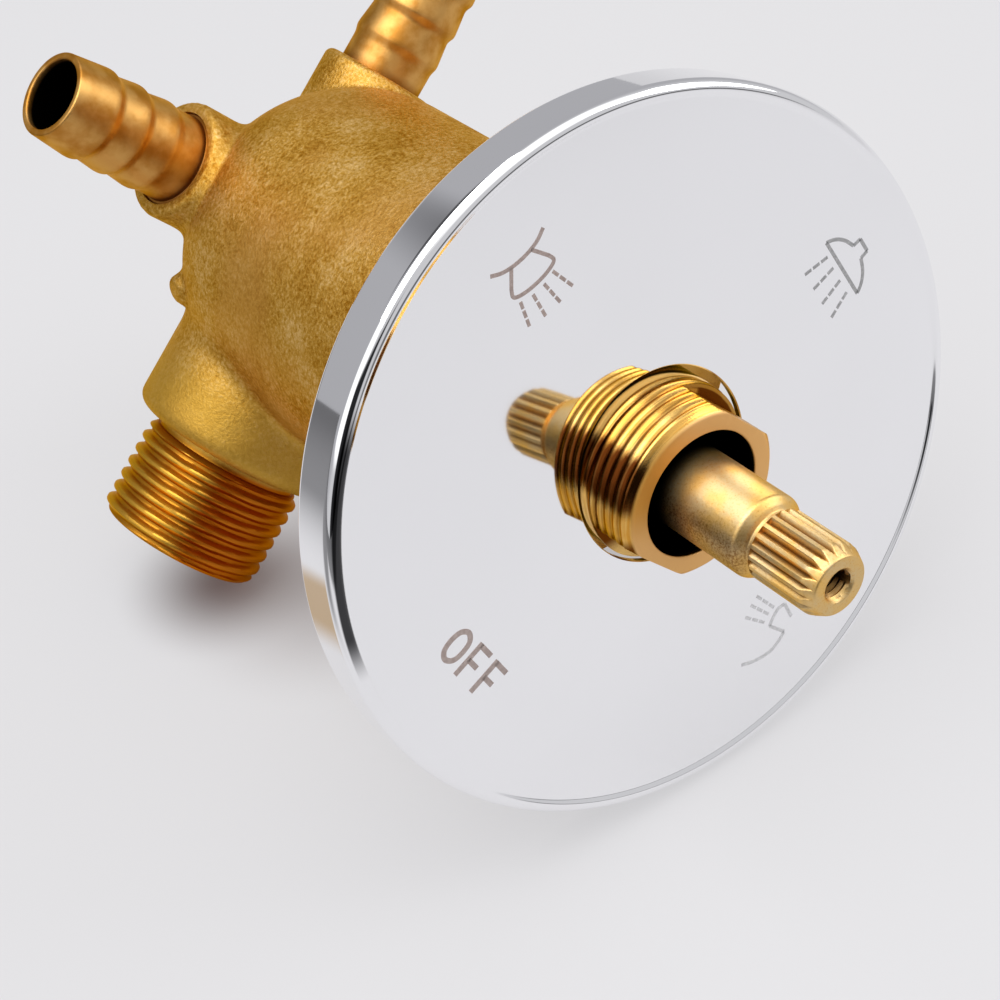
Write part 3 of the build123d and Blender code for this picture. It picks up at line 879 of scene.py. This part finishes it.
def spindleFinish():
    material, shader, here = newFinish("spindleBrass", Metallic=1.0, Specular_Tint=brassEdge)
    c, l, s = turnedLook, stemLook, stemSpindle
    front, splineEnd = s["front"], s["splineEnd"]
    x, y, z = here.axes()
    off = (x * x + z * z).root()
    sand, specks = here.grain(*l["sand"]), here.grain(*l["specks"])
    colour = here.grain(*l["patch"]).between(0.35, 0.7).blend(c["pale"], c["bright"])
    colour = (specks.between(0.5, 0.7) * 0.5).blend(colour, c["warm"])
    onSpline = 1 - y.span(splineEnd - 0.3, splineEnd)
    under = (1 - x.span(*l["underAcross"])) * (1 - z.span(*l["underUp"])) * (1 - onSpline)
    tarnish = under * (0.3 + specks.between(0.36, 0.66) * 0.45) + specks.between(0.66, 0.76) * 0.4
    colour = here.math("MINIMUM", tarnish, 0.92).blend(colour, c["stain_and_shade"])
    # the spline's gaps are darker
    groove = (1 - off.span(s["root"] + 0.05, s["spline"] - 0.08)) * onSpline
    groove = groove * y.span(front + 0.6, s["noseEnd"])
    colour = (groove * 0.6).blend(colour, c["stain_and_shade"])
    # painted shade in the threaded hole at the tip and where the spindle runs within the neck
    hole = (1 - off.span(*l["holeWall"])) * y.span(front + 0.7, front + 4.0)
    colour = hole.blend(colour, c["inside"])
    colour = y.span(*l["deepFrom"]).blend(colour, c["inside"])  # dark within the neck
    return finished(material, shader, Base_Color=colour, Roughness=0.32 + sand * 0.16,
                    Normal=sand.bump(0.2, 0.0001))


barbLook = {
    "bright": (0.66, 0.37, 0.11), "brown": (0.48, 0.21, 0.035), "dark": (0.26, 0.085, 0.010),
    "inside": (0.004, 0.003, 0.002),
    "patch": (330.0, 4.0), "sand": (3600.0, 3.0, 0.6), "footTo": (21.2, 22.6),
}


def barbFinish(place, bearing):
    material, shader, here = newFinish("barbBrass_" + place, Metallic=1.0, Specular_Tint=brassEdge)
    c, h = barbLook, hoseBarb
    x, y, z = here.axes()
    cosine, sine = float(np.cos(np.radians(bearing))), float(np.sin(np.radians(bearing)))
    along = x * cosine + z * sine
    across = z * cosine - x * sine
    deep = y - h["depth"] * mm
    off = (across * across + deep * deep).root()
    sand = here.grain(*c["sand"])
    colour = here.grain(*c["patch"]).between(0.35, 0.68).blend(c["bright"], c["brown"])
    foot = 1 - along.span(*c["footTo"])
    colour = (foot * 0.7).blend(colour, c["dark"])
    # painted shade inside the bore, up to near its open end
    inside = 1 - off.span(h["bore"] + 0.05, h["bore"] + 0.25)
    inside = inside * (1 - along.span(h["end"] - 0.9, h["end"] - 0.3))
    colour = inside.blend(colour, c["inside"])
    return finished(material, shader, Base_Color=colour, Roughness=0.34 + sand * 0.16,
                    Normal=sand.bump(0.12, 0.0001))


chromeLook = {
    "dull": (0.90, 0.90, 0.915), "clear": (0.925, 0.925, 0.94), "stain_and_shade": (0.02, 0.02, 0.022),
    "haze": (35.0, 3.0), "lineFrom": (38.4, 38.6), "lineTo": (39.45, 39.62), "lineDepth": (0.4, 0.9),
    "left": (-0.978, -0.208), "leftCosines": (0.925, 0.97),
}


def chromeFinish():
    material, shader, here = newFinish("mirrorChrome", Metallic=1.0)
    c = chromeLook
    haze = here.grain(*c["haze"])
    colour = haze.colours((0.3, c["dull"]), (0.7, c["clear"]))
    right, down, back = onPlate(here)
    off = (right * right + down * down).root()
    line = off.span(*c["lineFrom"]) * (1 - off.span(*c["lineTo"])) * (1 - back.span(*c["lineDepth"]))
    left = (right * c["left"][0] + down * c["left"][1]) / off
    line = line * left.between(*c["leftCosines"])
    colour = (line * 0.96).blend(colour, c["stain_and_shade"])  # a painted dark reflection on the lip at the left
    return finished(material, shader, Base_Color=colour, Roughness=0.035 + haze * 0.03)


markLook = {
    "jets": ((0.29, 0.225, 0.205), (0.36, 0.29, 0.265)), "off": ((0.31, 0.245, 0.225), (0.38, 0.31, 0.285)),
    "head": ((0.26, 0.26, 0.265), (0.35, 0.35, 0.355)), "hand": ((0.48, 0.48, 0.49), (0.58, 0.58, 0.59)),
}


def markFinish(name):
    material, shader, here = newFinish(name + "Etch")
    tone = here.grain(2500.0, 2.0)
    dark, light = markLook[name]
    return finished(material, shader, Base_Color=tone.colours((0.35, dark), (0.65, light)),
                    Roughness=0.55 + tone * 0.2)


def plainFinish(name, dark, light, scale, roughness, metallic=0.0):
    material, shader, here = newFinish(name, Metallic=metallic)
    tone = here.grain(scale, 3.0)
    return finished(material, shader, Base_Color=tone.colours((0.3, dark), (0.7, light)),
                    Roughness=roughness + tone * 0.12)


wear(body, castFinish())
wear(bonnet, neckFinish())
wear(spindle, spindleFinish())
for barb, (place, bearing) in zip(barbs, hoseBarb["places"].items()):
    wear(barb, barbFinish(place, bearing))
wear(plate, chromeFinish())
for name, piece in marks.items():
    wear(piece, markFinish(name))

innerLooks = {
    "sealRubber": ((0.012, 0.012, 0.013), (0.03, 0.03, 0.03), 900.0, 0.5, 0.0),
    "clipSteel": ((0.42, 0.42, 0.44), (0.56, 0.56, 0.58), 1500.0, 0.28, 1.0),
    "washerPlastic": ((0.62, 0.62, 0.58), (0.74, 0.74, 0.70), 700.0, 0.4, 0.0),
    "discCeramic": ((0.80, 0.79, 0.75), (0.88, 0.87, 0.84), 500.0, 0.12, 0.0),
    "driverBrass": ((0.55, 0.32, 0.08), (0.76, 0.50, 0.15), 400.0, 0.28, 1.0),
}
inner = {name: plainFinish(name, *look) for name, look in innerLooks.items()}
innerWears = {"seal": "sealRubber", "ring": "sealRubber", "clip": "clipSteel", "washer": "washerPlastic",
              "disc": "discCeramic", "driver": "driverBrass"}
for name, node in nodes.items():
    for word, look in innerWears.items():
        if word in name and not (word == "disc" and "driver" in name):
            wear(node, inner[look])
print("finishes:", len(bpy.data.materials))


# stage: a pale floor that the plate's rim, the inlet and one barb all touch, lamps and camera

stageSet = {
    "slope": (0.0767, 0.0897), "height": -39.602, "half": 2500.0,
    "floorLight": (0.715, 0.71, 0.725), "floorBody": (0.72, 0.715, 0.73), "floorRoughness": 0.8, "share": 0.74,
    "leftEnd": (80.0, 150.0), "leftSpan": (-60.0, 20.0),
    "frontSide": (-0.64, -0.77), "frontEnd": (200.0, 300.0),
    "roomLight": (0.02, 0.02, 0.022), "warmSpot": ((-68, 47), 24.0), "warmLight": (0.40, 0.23, 0.05),
    "shade": (0.10, 0.055, 0.045),
    "shades": [((-26, 53), 14.0, 0.95), ((-18, 44), 20.0, 0.55), ((12, 32), 46.0, 0.3)],  # place, radius, depth
}


def floorPiece():
    # height = level + slope x + slope y
    half = stageSet["half"]
    x, y = np.meshgrid([-half, half], [-half, half])
    z = stageSet["height"] + stageSet["slope"][0] * x + stageSet["slope"][1] * y
    corners = np.stack([x, y, z], -1).reshape(-1, 3)
    mesh = bpy.data.meshes.new("floor")
    mesh.from_pydata((corners * mm).tolist(), [], [(0, 1, 3, 2)])
    return linked("floor", mesh)


def floorFinish():
    # the camera and reflections see a pale glow, and the rest a plain white board that keeps shadows
    # the glow is dimmed in soft spots under the piece, as painted shadows; reflections also see the board's two
    # dark ends and a warm spot, a painted glow where the brass lights the floor
    material = bpy.data.materials.new("paleFloor")
    material.use_nodes = True
    tree = material.node_tree
    s = stageSet
    board = tree.nodes["Principled BSDF"]
    board.inputs["Base Color"].default_value = (*s["floorBody"], 1)
    board.inputs["Roughness"].default_value = s["floorRoughness"]
    here = Wire(tree, tree.nodes.new("ShaderNodeTexCoord").outputs["Object"])
    x, y = here.axes()[:2]
    path = tree.nodes.new("ShaderNodeLightPath")
    glossy = Wire(tree, path.outputs["Is Glossy Ray"])
    seen = Wire(tree, path.outputs["Is Camera Ray"]) + glossy + Wire(tree, path.outputs["Is Transmission Ray"])

    def awayFrom(spot):
        return ((x - spot[0] * mm) ** 2.0 + (y - spot[1] * mm) ** 2.0).root()

    light = 1.0
    for spot, reach, depth in s["shades"]:
        light = (1 - (1 - awayFrom(spot).span(0.0, reach)) * depth) * light
    dark = (0 - x).span(*s["leftEnd"]) * y.span(*s["leftSpan"])
    front = x * s["frontSide"][0] + y * s["frontSide"][1]
    dark = here.math("MAXIMUM", dark, front.span(*s["frontEnd"])) * glossy
    spot, reach = s["warmSpot"]
    warm = (1 - awayFrom(spot).span(0.4 * reach, reach)) * glossy
    colour = light.blend(s["shade"], dark.blend(s["floorLight"], s["roomLight"]))
    colour = warm.blend(colour, s["warmLight"])
    glow = here.node("Emission", {}, {"Color": colour, "Strength": 1.0})
    mixed = here.node("MixShader", {}, {0: here.math("MINIMUM", seen, 1.0) * s["share"],
                                        1: Wire(tree, board.outputs[0]), 2: glow})
    here.plug(tree.nodes["Material Output"].inputs["Surface"], mixed)
    return material


floor = floorPiece()
wear(floor, floorFinish())

# each part of the room: its side, the cosines where it starts and is full, and the same for its height
studio = {
    "backdrop": (0.74, 0.735, 0.75), "front": (0.62, 0.62, 0.635), "rear": (0.43, 0.43, 0.45),
    "rearFrom": (-0.2, 0.5), "box": (1.25, 1.25, 1.25),
    "maker": ((-0.64, -0.77), (0.9, 0.95), (0.42, 0.56)), "corner": ((0.45, -0.89), (0.85, 0.95), (0.02, 0.1)),
    "window": ((-0.98, -0.12), (0.8, 0.9), (0.12, 0.22)), "beam": ((-0.26, 0.965), (0.95, 0.995), (0.38, 0.5)),
    "ceiling": ((0.2, -0.4, 0.9), (0.82, 0.94)),
}
world = bpy.data.worlds.new("studio")
world.use_nodes = True
bpy.context.scene.world = world
tree = world.node_tree
sky = Wire(tree, tree.nodes.new("ShaderNodeTexCoord").outputs["Generated"])
east, north, height = sky.axes()
level = (east * east + north * north + 0.0001).root()


def roomPart(name, above):
    # how far a look falls on that part: within its side, and above its height or below it
    side, cosines, heights = studio[name]
    share = ((east * side[0] + north * side[1]) / level).between(*cosines)
    risen = height.between(*heights)
    return share * (risen if above else 1 - risen)


upwards, upCosines = studio["ceiling"]
ceiling = (east * upwards[0] + north * upwards[1] + height * upwards[2]).between(*upCosines)
bright = sky.math("MAXIMUM", roomPart("window", True), ceiling)
dark = sky.math("MAXIMUM", roomPart("maker", False), roomPart("corner", False) * 0.8)
dark = sky.math("MAXIMUM", dark, roomPart("beam", True) * 0.85)
tone = north.between(*studio["rearFrom"]).blend(studio["front"], studio["rear"])
tone = dark.blend(bright.blend(tone, studio["box"]), stageSet["roomLight"])
cameraRay = Wire(tree, tree.nodes.new("ShaderNodeLightPath").outputs["Is Camera Ray"])
tone = cameraRay.blend(tone, studio["backdrop"])  # the camera sees a plain pale wall behind the floor
sky.plug(tree.nodes["Background"].inputs["Color"], tone)
tree.nodes["Background"].inputs["Strength"].default_value = 1.0

lamps = {
    "key": {"at": (-170, 10, 470), "aim": (0, 20, 0), "size": 480, "watts": 2.0},
    "fill": {"at": (360, -220, 300), "aim": (0, 20, 0), "size": 300, "watts": 0.8},
}


def lookAt(place, aim):
    # the local -z axis points at the aim
    place, aim = np.array(place, float), np.array(aim, float)
    back = (place - aim) / np.linalg.norm(place - aim)
    right = np.cross([0, 0, 1.0], back)
    right = right / np.linalg.norm(right)
    up = np.cross(back, right)
    return Matrix([[right[k], up[k], back[k], place[k] * mm] for k in range(3)] + [[0, 0, 0, 1]])


for name, lamp in lamps.items():
    data = bpy.data.lights.new(name, "AREA")
    data.size = lamp["size"] * mm
    data.energy = lamp["watts"]
    linked(name, data).matrix_world = lookAt(lamp["at"], lamp["aim"])

cameraView = {
    "eye": (-112.402, -148.529, 132.693), "right": (0.80055, -0.59305, -0.08604),
    "up": (0.41229, 0.44087, 0.79728), "forward": (0.4349, 0.67374, -0.59745), "lens": 77.617,
}
data = bpy.data.cameras.new("camera")
data.sensor_width = 36.0
data.lens = cameraView["lens"]
data.clip_start, data.clip_end = 0.005, 20.0
camera = linked("camera", data)
v = cameraView
camera.matrix_world = Matrix([[v["right"][k], v["up"][k], -v["forward"][k], v["eye"][k] * mm] for k in range(3)]
                             + [[0, 0, 0, 1]])
bpy.context.scene.camera = camera
bpy.context.scene.view_settings.view_transform = "Standard"
print("stage, lamps and camera set")
